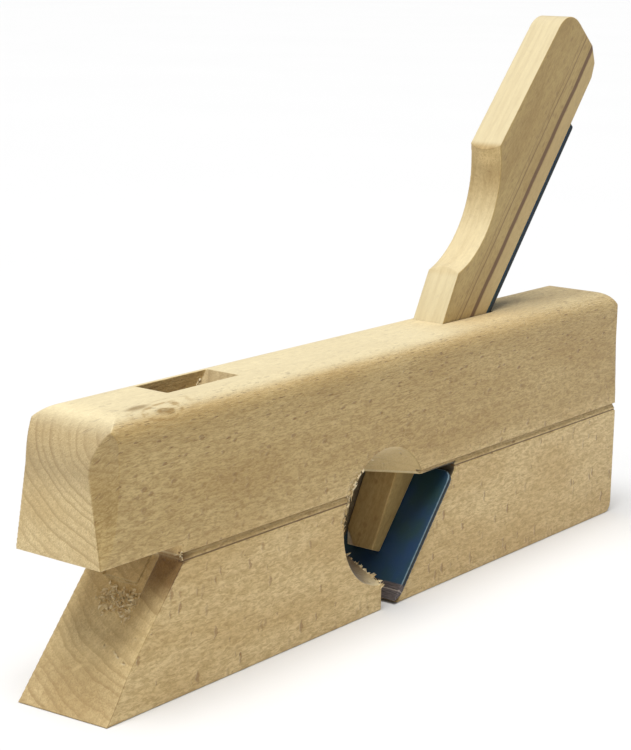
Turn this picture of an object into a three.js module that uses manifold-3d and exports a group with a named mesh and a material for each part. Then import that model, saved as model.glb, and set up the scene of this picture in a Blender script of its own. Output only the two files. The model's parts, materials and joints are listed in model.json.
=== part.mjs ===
// Wooden rebate plane with a second, bullnose iron seat at the toe.
// Three pieces: the beech stock, a T-shaped iron and the wedge that holds it.
// Millimetres, +Z up. +X runs towards the heel, the shavings leave on the -Y side,
// and the origin is the centre of the sole.

import * as THREE from 'three';
import { mergeVertices } from 'three/addons/utils/BufferGeometryUtils.js';
import Module from 'manifold-3d';

const wasm = await Module();
wasm.setup();

// ---- Driving dimensions -------------------------------------------------------------

// Stock
const LENGTH = 262;
const WIDTH = 30;
const HEIGHT = 79.5;
const TOE_RADIUS = 14; // where the top rolls over into the toe
const HEEL_RADIUS = 9; // and into the heel
const EDGE_RADIUS = 7; // long top edges
const FOOT_RADIUS = 3; // bottom corner of the heel
const TOE = -LENGTH / 2;
const HEEL = LENGTH / 2;
const SIDE = WIDTH / 2;

// Iron seats. A seat is a bed that rises from the sole; along it, s runs up the bed
// and n stands square off it, towards the toe.
const BED_ANGLE = THREE.MathUtils.degToRad(50);
const MAIN_SEAT_X = -1;
const TOE_SEAT_X = TOE;
const SEAT_RELIEF = 0.6; // the mortises are cut this much deeper than the beds

// Mortises, which are offset so that the cheek on the escapement side is the thick one
const MORTISE_WIDTH = 12;
const MORTISE_Y = 2.5;
const FAR_CHEEK_Y = MORTISE_Y + MORTISE_WIDTH / 2; // its inner face runs down beside the throat

// Throat and mouth
const MOUTH_X = -9.4;
const THROAT_CEILING = 38;
const BED_STEP_Z = 35.6; // above this the back of the throat stands upright

// Escapement: a tapered hole through the stock, widest on the -Y side
const ESCAPE_X = -8;
const ESCAPE_Z = 28.8;
const ESCAPE_RADIUS = 21.1;
const ESCAPE_TAPER = 0.5; // loss of radius per millimetre of depth

// Notch under the toe, which opens the bullnose seat
const NOTCH_CEILING = 42;
const NOTCH_END_X = -100;
const TOE_CHANNEL = 12; // how far the toe mortise runs down the bullnose bed

// Groove along both sides: a step in, a slope back out and a fine quirk
const GROOVE_TOP = 39.5;
const GROOVE_BOTTOM = 36.8;
const GROOVE_DEPTH = 1.5;
const GROOVE_LIP = 0.2; // how far the slope's outer end stays below the face
const QUIRK_DEPTH = 0.8;
const QUIRK_WIDTH = 0.7;
const QUIRK_FLOOR = 0.3; // height of the quirk's deepest line above the groove's bottom

// Stopped chamfers on the upright corners of the upper half
const CHAMFER_SIDE = 7; // width on the side face at the toe
const CHAMFER_END = 4; // width on the end face at the top of the stop
const HEEL_CHAMFER = 0.27; // those at the heel are this much of the toe's size
const CHAMFER_STOP = 24; // height over which the chamfer runs out
const CHAMFER_START = 0.02; // its width where it starts, so that no ring is empty
const CHAMFER_RUN_ON = 1.2; // the end width grows to this many times itself above the stop
const CHAMFER_TOP = 2; // it ends this many stops above its bottom, clear of the stock
const CHAMFER_STEPS = 20;

// Iron
const IRON_PROUD = 0.5; // the blade stands this far out of each side, to cut into corners
const IRON_EDGE_THICKNESS = 1.9;
const IRON_TOP_THICKNESS = 1.7;
const IRON_LENGTH = 179; // up the bed, to the end of the tang
const IRON_SHOULDER = 45;
const IRON_CORNER_RADIUS = 3;
const TANG_CORNER_RADIUS = 2;
const IRON_SETBACK = 0.8; // height of the cutting edge above the sole, as stored
const BEVEL_ANGLE = THREE.MathUtils.degToRad(28);

// Wedge
const WEDGE_TIP = 13.6; // where its lower end meets the iron
const WEDGE_TIP_RAKE = 1.4; // the front of that end hangs this much lower
const WEDGE_TOE = 4; // its front face starts this far off the bed
const WEDGE_SLOPE = 0.2085; // and leaves it at this rate
const WEDGE_END = 205.5;
const WEDGE_BACK_CUT = 8; // its back turns away from the bed this far below the end,
const WEDGE_BACK_S = 3.2; // comes to this far below the end
const WEDGE_BACK_N = 4.2; // at this height off the bed,
const WEDGE_CROWN_N = 9.6; // and reaches the end at this height
const GRIP_S = 119.3; // centre and radius of the finger hollow
const GRIP_N = 55.5;
const GRIP_RADIUS = 34.6;
const GRIP_START = 101.9;
const GRIP_STOP = 146.1;
const NOSE_RADIUS = 10;
const NOSE_N = 31.4;
const TIP_CLIP_LENGTH = 5.5; // the tip's far corner is clipped to turn shavings out
const TIP_CLIP_WIDTH = 4.3;
const TIP_CLIP_DEPTH = 2.4;

const GAP = 0.3; // between pieces that bear on each other
const PAST = 4; // how far cutters run past the faces that they open
const ARC_STEPS = 24;
const SMALL_ARC_STEPS = 8;
const ROUND_STEPS = 144;

// ---- Solids -------------------------------------------------------------------------

function toManifold(geometry) {
  const bare = geometry.index ? geometry.toNonIndexed() : geometry.clone();
  bare.deleteAttribute('normal');
  bare.deleteAttribute('uv');
  const merged = mergeVertices(bare, 1e-4);
  return new wasm.Manifold(new wasm.Mesh({
    numProp: 3,
    vertProperties: new Float32Array(merged.attributes.position.array),
    triVerts: new Uint32Array(merged.index.array),
  }));
}

function toGeometry(solid) {
  const mesh = solid.getMesh();
  const geometry = new THREE.BufferGeometry();
  geometry.setAttribute('position', new THREE.BufferAttribute(mesh.vertProperties, 3));
  geometry.setIndex(new THREE.BufferAttribute(mesh.triVerts, 1));
  geometry.computeVertexNormals();
  return geometry;
}

// An outline in x and z, extruded from y = low to y = high.
function prismAcross(outline, low, high) {
  const shape = new THREE.Shape(outline);
  const geometry = new THREE.ExtrudeGeometry(shape, { depth: high - low, bevelEnabled: false });
  geometry.rotateX(Math.PI / 2);
  geometry.translate(0, high, 0);
  return toManifold(geometry);
}

// An outline in y and z, extruded along the whole stock and past both ends.
function prismAlong(outline) {
  const shape = new THREE.Shape(outline);
  const geometry = new THREE.ExtrudeGeometry(shape, { depth: LENGTH + 2 * PAST, bevelEnabled: false });
  const alongX = new THREE.Matrix4().makeBasis(
    new THREE.Vector3(0, 1, 0),
    new THREE.Vector3(0, 0, 1),
    new THREE.Vector3(1, 0, 0),
  );
  geometry.applyMatrix4(alongX);
  geometry.translate(TOE - PAST, 0, 0);
  return toManifold(geometry);
}

// An outline in s and y on the main bed, extruded square off the bed.
function prismOffBed(outline) {
  const shape = new THREE.Shape(outline);
  const geometry = new THREE.ExtrudeGeometry(shape, { depth: 2 * WIDTH, bevelEnabled: false });
  const offBed = new THREE.Matrix4().makeBasis(
    new THREE.Vector3(Math.cos(BED_ANGLE), 0, Math.sin(BED_ANGLE)),
    new THREE.Vector3(0, 1, 0),
    new THREE.Vector3(-Math.sin(BED_ANGLE), 0, Math.cos(BED_ANGLE)),
  );
  const start = bedPoint(MAIN_SEAT_X, 0, -PAST);
  geometry.applyMatrix4(offBed);
  geometry.translate(start.x, 0, start.y);
  return toManifold(geometry);
}

// A convex ring of points for each height, joined into one closed solid.
function loft(rings, heights) {
  const count = rings[0].length;
  const positions = [];
  const triangle = (...corners) => corners.forEach(([i, j]) => {
    positions.push(rings[i][j].x, rings[i][j].y, heights[i]);
  });
  const top = rings.length - 1;
  for (let i = 0; i < top; i += 1) {
    for (let j = 0; j < count; j += 1) {
      const next = (j + 1) % count;
      triangle([i, j], [i, next], [i + 1, next]);
      triangle([i, j], [i + 1, next], [i + 1, j]);
    }
  }
  for (let j = 1; j < count - 1; j += 1) {
    triangle([0, 0], [0, j + 1], [0, j]);
    triangle([top, 0], [top, j], [top, j + 1]);
  }
  const geometry = new THREE.BufferGeometry();
  geometry.setAttribute('position', new THREE.Float32BufferAttribute(positions, 3));
  return toManifold(geometry);
}

// Points of an arc, from one angle to another, both in degrees.
function arc(cx, cy, radius, from, to, steps = ARC_STEPS) {
  const points = [];
  for (let i = 0; i <= steps; i += 1) {
    const angle = THREE.MathUtils.degToRad(from + ((to - from) * i) / steps);
    points.push(new THREE.Vector2(cx + radius * Math.cos(angle), cy + radius * Math.sin(angle)));
  }
  return points;
}

// ---- Seat geometry ------------------------------------------------------------------

function bedPoint(seatX, s, n) {
  return new THREE.Vector2(
    seatX + s * Math.cos(BED_ANGLE) - n * Math.sin(BED_ANGLE),
    s * Math.sin(BED_ANGLE) + n * Math.cos(BED_ANGLE),
  );
}

// Point at height z on the line n = start + slope * s of a seat.
function seatLine(seatX, z, start, slope) {
  const s = (z - start * Math.cos(BED_ANGLE)) / (Math.sin(BED_ANGLE) + slope * Math.cos(BED_ANGLE));
  return bedPoint(seatX, s, start + slope * s);
}

function wedgeFront(s) {
  return WEDGE_TOE + WEDGE_SLOPE * s;
}

// Front face of the iron, which thins towards the tang.
function ironFront(s) {
  return GAP + THREE.MathUtils.mapLinear(s, 0, IRON_LENGTH, IRON_EDGE_THICKNESS, IRON_TOP_THICKNESS);
}

// ---- Stock --------------------------------------------------------------------------

function stockBlank() {
  const side = prismAcross([
    ...arc(HEEL - FOOT_RADIUS, FOOT_RADIUS, FOOT_RADIUS, -90, 0, SMALL_ARC_STEPS),
    ...arc(HEEL - HEEL_RADIUS, HEIGHT - HEEL_RADIUS, HEEL_RADIUS, 0, 90),
    ...arc(TOE + TOE_RADIUS, HEIGHT - TOE_RADIUS, TOE_RADIUS, 90, 180),
    new THREE.Vector2(TOE, NOTCH_CEILING),
    new THREE.Vector2(NOTCH_END_X, NOTCH_CEILING),
    new THREE.Vector2(NOTCH_END_X, (NOTCH_END_X - TOE_SEAT_X) * Math.tan(BED_ANGLE)),
    new THREE.Vector2(TOE_SEAT_X, 0),
  ], -SIDE, SIDE);
  const section = prismAlong([
    new THREE.Vector2(-SIDE, -PAST),
    new THREE.Vector2(SIDE, -PAST),
    ...arc(SIDE - EDGE_RADIUS, HEIGHT - EDGE_RADIUS, EDGE_RADIUS, 0, 90),
    ...arc(EDGE_RADIUS - SIDE, HEIGHT - EDGE_RADIUS, EDGE_RADIUS, 90, 180),
  ]);
  return side.intersect(section);
}

function mortise(seatX, bottom) {
  const top = HEIGHT + PAST;
  return prismAcross([
    seatLine(seatX, bottom, -SEAT_RELIEF, 0),
    seatLine(seatX, top, -SEAT_RELIEF, 0),
    seatLine(seatX, top, WEDGE_TOE + GAP, WEDGE_SLOPE),
    seatLine(seatX, bottom, WEDGE_TOE + GAP, WEDGE_SLOPE),
  ], MORTISE_Y - MORTISE_WIDTH / 2, MORTISE_Y + MORTISE_WIDTH / 2);
}

// The room in front of the iron on the escapement side, and the slot for the iron, as wide as
// the mouth, that runs right across.
function throat() {
  const bedTop = seatLine(MAIN_SEAT_X, BED_STEP_Z, 0, 0);
  const slotWidth = (MAIN_SEAT_X - MOUTH_X) * Math.sin(BED_ANGLE);
  const back = [
    new THREE.Vector2(MOUTH_X, -PAST),
    seatLine(MAIN_SEAT_X, -PAST, 0, 0),
    bedTop,
    new THREE.Vector2(bedTop.x, THROAT_CEILING),
  ];
  const room = [...back, new THREE.Vector2(MOUTH_X, THROAT_CEILING)];
  const slot = [
    ...back,
    seatLine(MAIN_SEAT_X, THROAT_CEILING, slotWidth, 0),
    new THREE.Vector2(MOUTH_X, 0),
  ];
  const low = -SIDE - PAST;
  return prismAcross(room, low, FAR_CHEEK_Y).add(prismAcross(slot, low, SIDE + PAST));
}

function escapement() {
  const radiusAt = (y) => ESCAPE_RADIUS - ESCAPE_TAPER * (y + SIDE);
  const low = -SIDE - PAST;
  const high = SIDE + PAST;
  const profile = [
    new THREE.Vector2(0, low),
    new THREE.Vector2(radiusAt(low), low),
    new THREE.Vector2(radiusAt(high), high),
    new THREE.Vector2(0, high),
  ];
  const geometry = new THREE.LatheGeometry(profile, ROUND_STEPS);
  geometry.translate(ESCAPE_X, 0, ESCAPE_Z);
  return toManifold(geometry);
}

function groove(face) {
  const inward = (depth) => face * (SIDE - depth);
  const outline = [
    new THREE.Vector2(inward(-PAST), GROOVE_TOP),
    new THREE.Vector2(inward(GROOVE_DEPTH), GROOVE_TOP),
    new THREE.Vector2(inward(GROOVE_LIP), GROOVE_BOTTOM + QUIRK_WIDTH),
    new THREE.Vector2(inward(QUIRK_DEPTH), GROOVE_BOTTOM + QUIRK_FLOOR),
    new THREE.Vector2(inward(0), GROOVE_BOTTOM),
    new THREE.Vector2(inward(-PAST), GROOVE_BOTTOM),
  ];
  return prismAlong(outline);
}

// A stopped chamfer on one upright corner. end is -1 at the toe and 1 at the heel, face is
// -1 or 1, bottom is the height where it dies out, and size scales its widths.
function stoppedChamfer(end, face, bottom, size) {
  const rings = [];
  const heights = [];
  for (let i = 0; i <= CHAMFER_STEPS + 1; i += 1) {
    const rise = i <= CHAMFER_STEPS ? i / CHAMFER_STEPS : CHAMFER_TOP;
    const eased = Math.min(rise, 1);
    const onSide = CHAMFER_START + size * CHAMFER_SIDE * Math.sqrt(1 - (1 - eased) ** 2);
    const onEnd = CHAMFER_START + size * CHAMFER_END * Math.min(rise, CHAMFER_RUN_ON);
    const corner = (inX, inY) => new THREE.Vector2(end * (HEEL - inX), face * (SIDE - inY));
    const ring = [
      corner(-PAST, onEnd),
      corner(0, onEnd),
      corner(onSide, 0),
      corner(onSide, -PAST),
      corner(-PAST, -PAST),
    ];
    rings.push(end * face > 0 ? ring.reverse() : ring);
    heights.push(bottom + rise * CHAMFER_STOP);
  }
  return loft(rings, heights);
}

function stock() {
  const cutters = [
    mortise(MAIN_SEAT_X, BED_STEP_Z),
    mortise(TOE_SEAT_X, NOTCH_CEILING - TOE_CHANNEL),
    throat(),
    escapement(),
  ];
  for (const face of [-1, 1]) {
    cutters.push(groove(face));
    cutters.push(stoppedChamfer(-1, face, NOTCH_CEILING, 1));
    cutters.push(stoppedChamfer(1, face, GROOVE_TOP, HEEL_CHAMFER));
  }
  return cutters.reduce((body, cutter) => body.subtract(cutter), stockBlank());
}

// ---- Iron ---------------------------------------------------------------------------

function iron() {
  const side = SIDE + IRON_PROUD;
  const edgeN = ironFront(0);
  const edgeS = (IRON_SETBACK - edgeN * Math.cos(BED_ANGLE)) / Math.sin(BED_ANGLE);
  const bevelS = edgeS + (edgeN - GAP) / Math.tan(BEVEL_ANGLE);
  const plate = prismAcross([
    bedPoint(MAIN_SEAT_X, edgeS, edgeN),
    bedPoint(MAIN_SEAT_X, bevelS, GAP),
    bedPoint(MAIN_SEAT_X, IRON_LENGTH, GAP),
    bedPoint(MAIN_SEAT_X, IRON_LENGTH, ironFront(IRON_LENGTH)),
    bedPoint(MAIN_SEAT_X, 0, edgeN),
  ], -side, side);
  const tangLow = MORTISE_Y - MORTISE_WIDTH / 2 + GAP;
  const tangHigh = MORTISE_Y + MORTISE_WIDTH / 2 - GAP;
  const tangEnd = IRON_LENGTH - TANG_CORNER_RADIUS;
  const centre = IRON_SHOULDER - IRON_CORNER_RADIUS;
  const cornerY = side - IRON_CORNER_RADIUS;
  const outline = [
    new THREE.Vector2(-2 * PAST, -side - PAST),
    new THREE.Vector2(centre, -side - PAST),
    new THREE.Vector2(centre, -side),
    ...arc(centre, -cornerY, IRON_CORNER_RADIUS, -90, 0, SMALL_ARC_STEPS).slice(1),
    new THREE.Vector2(IRON_SHOULDER, tangLow),
    ...arc(tangEnd, tangLow + TANG_CORNER_RADIUS, TANG_CORNER_RADIUS, -90, 0, SMALL_ARC_STEPS),
    ...arc(tangEnd, tangHigh - TANG_CORNER_RADIUS, TANG_CORNER_RADIUS, 0, 90, SMALL_ARC_STEPS),
    new THREE.Vector2(IRON_SHOULDER, tangHigh),
    ...arc(centre, cornerY, IRON_CORNER_RADIUS, 0, 90, SMALL_ARC_STEPS).slice(0, -1),
    new THREE.Vector2(centre, side),
    new THREE.Vector2(centre, side + PAST),
    new THREE.Vector2(-2 * PAST, side + PAST),
  ];
  return plate.intersect(prismOffBed(outline));
}

// ---- Wedge --------------------------------------------------------------------------

function wedge() {
  const gripAngle = (s) => THREE.MathUtils.radToDeg(Math.acos((s - GRIP_S) / GRIP_RADIUS));
  const noseS = WEDGE_END - NOSE_RADIUS;
  const frontTip = WEDGE_TIP - WEDGE_TIP_RAKE;
  const back = (s) => ironFront(s) + GAP;
  const profile = [
    new THREE.Vector2(WEDGE_TIP, back(WEDGE_TIP)),
    new THREE.Vector2(IRON_LENGTH, back(IRON_LENGTH)),
    new THREE.Vector2(WEDGE_END - WEDGE_BACK_CUT, back(IRON_LENGTH)),
    new THREE.Vector2(WEDGE_END - WEDGE_BACK_S, WEDGE_BACK_N),
    new THREE.Vector2(WEDGE_END, WEDGE_CROWN_N),
    ...arc(noseS, NOSE_N - NOSE_RADIUS, NOSE_RADIUS, 0, 90),
    ...arc(GRIP_S, GRIP_N, GRIP_RADIUS, -gripAngle(GRIP_STOP), -gripAngle(GRIP_START)),
    new THREE.Vector2(frontTip, wedgeFront(frontTip)),
  ];
  const low = MORTISE_Y - MORTISE_WIDTH / 2 + GAP;
  const high = MORTISE_Y + MORTISE_WIDTH / 2 - GAP;
  const body = prismAcross(profile.map((p) => bedPoint(MAIN_SEAT_X, p.x, p.y)), low, high);
  const onBed = (s, n, y) => {
    const p = bedPoint(MAIN_SEAT_X, s, n);
    return new THREE.Vector3(p.x, y, p.y);
  };
  const clip = new THREE.Plane().setFromCoplanarPoints(
    onBed(frontTip + TIP_CLIP_LENGTH, wedgeFront(frontTip + TIP_CLIP_LENGTH), high),
    onBed(frontTip, wedgeFront(frontTip), high - TIP_CLIP_WIDTH),
    onBed(WEDGE_TIP, wedgeFront(WEDGE_TIP) - TIP_CLIP_DEPTH, high),
  );
  return body.trimByPlane(clip.normal.toArray(), -clip.constant);
}

// ---- Assembly -----------------------------------------------------------------------

const BEECH = new THREE.MeshStandardMaterial({ color: 0xd0b282, roughness: 0.62, metalness: 0 });
const BEECH_WEDGE = new THREE.MeshStandardMaterial({ color: 0xbf9a68, roughness: 0.6, metalness: 0 });
const BLUE_IRON = new THREE.MeshStandardMaterial({ color: 0x1d3550, roughness: 0.4, metalness: 0.3 });

function piece(name, solid, material) {
  const mesh = new THREE.Mesh(toGeometry(solid), material);
  mesh.name = name;
  return mesh;
}

const plane = new THREE.Group();
plane.add(piece('stock', stock(), BEECH));
plane.add(piece('iron', iron(), BLUE_IRON));
plane.add(piece('wedge', wedge(), BEECH_WEDGE));

export default plane;
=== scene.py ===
"""Looks for a wooden rebate plane with a second, bullnose iron seat at the toe.

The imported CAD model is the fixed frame. Each of its three pieces is copied and remeshed finely
enough to carry eased arrises, chips and gouges, and the copy stands for its CAD node. Torn fibres
are one more piece, fixed to the stock. Blender works in metres; lengths below are in millimetres
unless a comment says otherwise, and MM turns them into metres.
"""

import json
import math
import random

import bmesh
import bpy
import numpy as np
from mathutils import Matrix, Vector, noise


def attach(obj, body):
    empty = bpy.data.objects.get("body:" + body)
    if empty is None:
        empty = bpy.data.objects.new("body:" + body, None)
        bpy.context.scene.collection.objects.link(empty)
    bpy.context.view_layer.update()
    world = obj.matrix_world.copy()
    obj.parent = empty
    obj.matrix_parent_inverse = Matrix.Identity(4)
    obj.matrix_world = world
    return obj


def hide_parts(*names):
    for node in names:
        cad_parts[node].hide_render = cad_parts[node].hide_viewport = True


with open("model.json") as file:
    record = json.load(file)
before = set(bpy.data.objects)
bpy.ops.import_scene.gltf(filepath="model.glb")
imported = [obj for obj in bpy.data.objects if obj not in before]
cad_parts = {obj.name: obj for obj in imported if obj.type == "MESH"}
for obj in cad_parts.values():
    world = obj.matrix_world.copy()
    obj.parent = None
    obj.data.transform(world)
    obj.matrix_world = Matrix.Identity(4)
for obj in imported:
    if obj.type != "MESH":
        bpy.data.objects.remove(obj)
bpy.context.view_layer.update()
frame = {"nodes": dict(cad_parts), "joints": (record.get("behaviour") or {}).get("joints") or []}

MM = 0.001
ORIGIN = (0, 0, 0)
AXES = ((1, 0, 0), (0, 1, 0), (0, 0, 1))

# ---- Dimensions shared with the CAD source ----------------------------------------------------

SEAT_AXIS = Vector(frame["joints"][0]["axis"])
OFF_BED = Vector((-SEAT_AXIS.z, 0, SEAT_AXIS.x))
BED_ANGLE = math.atan2(SEAT_AXIS.z, SEAT_AXIS.x)
MAIN_SEAT_X = -1.0
TOE_SEAT_X = -131.0
SIDE_Y = 15.0
TOP_Z = 79.5
MOUTH_X = -9.4
ESCAPE_CENTRE = (-8.0, 28.8)
ESCAPE_RADIUS = 21.1
ESCAPE_TAPER = 0.5
GROOVE_LOW = 36.8
GROOVE_HIGH = 39.5
NOTCH_END_X = -100.0
MORTISE_NEAR_Y = -3.5
CHEEK_Y = 8.5
THROAT_CEILING = 38.0
RECESS_X = 14.0
RECESS_Z = 30.0
HOLLOW_LOW_S = 101.9
HOLLOW_HIGH_S = 146.1

# ---- Mesh quality -----------------------------------------------------------------------------

STOCK_VOXEL = 0.25
IRON_VOXEL = 0.25
WEDGE_VOXEL = 0.3
STOCK_FACES = 180_000
IRON_FACES = 60_000
WEDGE_FACES = 70_000
WELD = 0.002
ARRIS_GAIN = 4.0

# ---- Wear -------------------------------------------------------------------------------------

# The trimmed tip of the bullnose bed
TIP_START = -119.0
TIP_HEIGHT = 16.0
TIP_SKEW = 2.0

# The torn lower end of the toe mortise, on the bullnose bed
BED_TOP_S = 60.0
CHANNEL_LOW_Y = -6.5
CHANNEL_HIGH_Y = 8.9
CHANNEL_END_S = 32.3
CHANNEL_TEAR_Y = -1.5
CHANNEL_DEPTH = 0.7
CHANNEL_RAGGED = 1.2
CHANNEL_ROUGH_S = 25.0
BED_SKIN = 0.3
# How far up the bullnose bed the painted shade reaches
SHADE_TOP_S = 56.0

# The torn left rim of the escapement: where round the circle in degrees, and how deep
RIM_TEAR_ANGLE = 152.0
RIM_TEAR_SPREAD = 30.0
RIM_TEAR_DEPTH = 0.7

# The ragged edge beside the mouth
MOUTH_BUNCHES = 9
MOUTH_TEAR_DEPTH = 20.0
MOUTH_RARITY = 2.2

# The pared ends of the wedge's finger hollow
HOLLOW_BLEND = 4.0
HOLLOW_RUN_OUT = 2.0
HOLLOW_HIGH_N = 20.0
HOLLOW_LOW_N = 15.0
HOLLOW_FADE = 8.0

# The knot in the rolled edge of the toe: its centre, how far its swirl reaches and strays, and
# how closely its lines follow each other
KNOT = (-104.0, -12.2, 78.2)
KNOT_REACH = 7.0
KNOT_WANDER = 9.0
KNOT_LINES = 3.0

# Torn fibres: how many of each kind, and the range of their lengths and widths
FIBRE_SEED = 7
SPLINTER_STEPS = 5
SPLINTER_TIP = 0.02
FIBRES = {
    "channel": {"count": 230, "length": (0.8, 2.4), "width": (0.8, 1.7)},
    "rim": {"count": 130, "length": (0.8, 2.4), "width": (0.5, 1.1)},
    "mouth": {"count": 60, "length": (0.7, 2.0), "width": (0.4, 1.4)},
    "groove": {"count": 16, "length": (0.4, 1.2), "width": (0.3, 0.7)},
    "mortise": {"count": 44, "length": (0.4, 1.3), "width": (0.35, 0.8)},
}

# Pale scrapes on the bullnose bed: place, direction, length and half width
SMEARS = (
    ((-118.0, 0.5, 15.5), (-0.62, -0.03, -0.76), 10.0, 0.9),
    ((-122.4, 1.8, 10.3), (-0.5, 0.8, -0.6), 4.5, 0.8),
    ((-124.5, -4.9, 7.8), (-0.4, 1.0, -0.5), 3.5, 0.8),
)

# Dark dents in the bed and the near side: place, direction, length, half width and depth
GOUGE_GRAIN = 0.7
GOUGES = (
    ((-118.2, -8.3, 15.2), (-0.4, -1.0, -0.5), 4.6, 0.7, 0.45),
    ((-119.4, -11.9, 13.9), (-0.4, -1.0, -0.5), 2.4, 0.9, 0.5),
    ((-114.7, -11.8, 19.4), (-0.3, -1.0, -0.4), 1.6, 0.7, 0.35),
    ((-101.8, -8.6, 34.8), (0.6, 0.3, 0.7), 1.4, 0.7, 0.45),
    ((-117.4, -3.2, 16.2), (0.6, 0.2, 0.7), 2.2, 0.6, 0.3),
    ((-80.4, -15.0, 10.1), (0.1, 0.0, 1.0), 3.4, 0.45, 0.25),
    ((-76.1, -15.0, 4.5), (0.0, 0.0, 1.0), 2.8, 0.5, 0.3),
    ((-96.5, -15.0, 15.5), (0.1, 0.0, 1.0), 4.2, 0.4, 0.25),
)


def seat_point(seat_x, s, n, y=0.0):
    """A point s up a bed and n square off it."""
    x = seat_x + s * math.cos(BED_ANGLE) - n * math.sin(BED_ANGLE)
    return Vector((x, y, s * math.sin(BED_ANGLE) + n * math.cos(BED_ANGLE)))


# ---- Meshes -----------------------------------------------------------------------------------


def apply_modifiers(piece):
    graph = bpy.context.evaluated_depsgraph_get()
    solid = bpy.data.meshes.new_from_object(piece.evaluated_get(graph))
    piece.modifiers.clear()
    piece.data = solid


def remeshed(node, name, voxel):
    """A new object with the CAD node's shape in even, fine quads and slightly eased arrises."""
    mesh = frame["nodes"][node].data.copy()
    piece = bpy.data.objects.new(name, mesh)
    bpy.context.scene.collection.objects.link(piece)
    welded = bmesh.new()
    welded.from_mesh(mesh)
    bmesh.ops.remove_doubles(welded, verts=welded.verts, dist=WELD * MM)
    welded.to_mesh(mesh)
    welded.free()
    remesh = piece.modifiers.new("even", "REMESH")
    remesh.mode = "VOXEL"
    remesh.voxel_size = voxel * MM
    remesh.adaptivity = 0.0
    ease = piece.modifiers.new("eased", "SMOOTH")
    ease.factor = 0.5
    ease.iterations = 2
    apply_modifiers(piece)
    return piece


def thin_out(piece, faces):
    """Collapses flat areas until about this many triangles are left."""
    triangles = sum(len(p.vertices) - 2 for p in piece.data.polygons)
    if triangles <= faces:
        return
    thin = piece.modifiers.new("thinned", "DECIMATE")
    thin.ratio = faces / triangles
    apply_modifiers(piece)


def read_points(mesh):
    points = np.empty(len(mesh.vertices) * 3)
    mesh.vertices.foreach_get("co", points)
    return points.reshape(-1, 3) / MM


def write_points(mesh, points):
    mesh.vertices.foreach_set("co", (points * MM).ravel())
    mesh.update()


def write_mask(mesh, name, values):
    """A number from 0 to 1 at each vertex, which a material reads by name."""
    mask = mesh.attributes.new(name, "FLOAT", "POINT")
    mask.data.foreach_set("value", np.clip(values, 0, 1).astype(np.float32))


def finish_piece(piece, material, body, node):
    piece.data.materials.clear()
    piece.data.materials.append(material)
    piece.data.shade_smooth()
    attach(piece, body)
    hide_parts(node)


# ---- Materials --------------------------------------------------------------------------------


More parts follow.
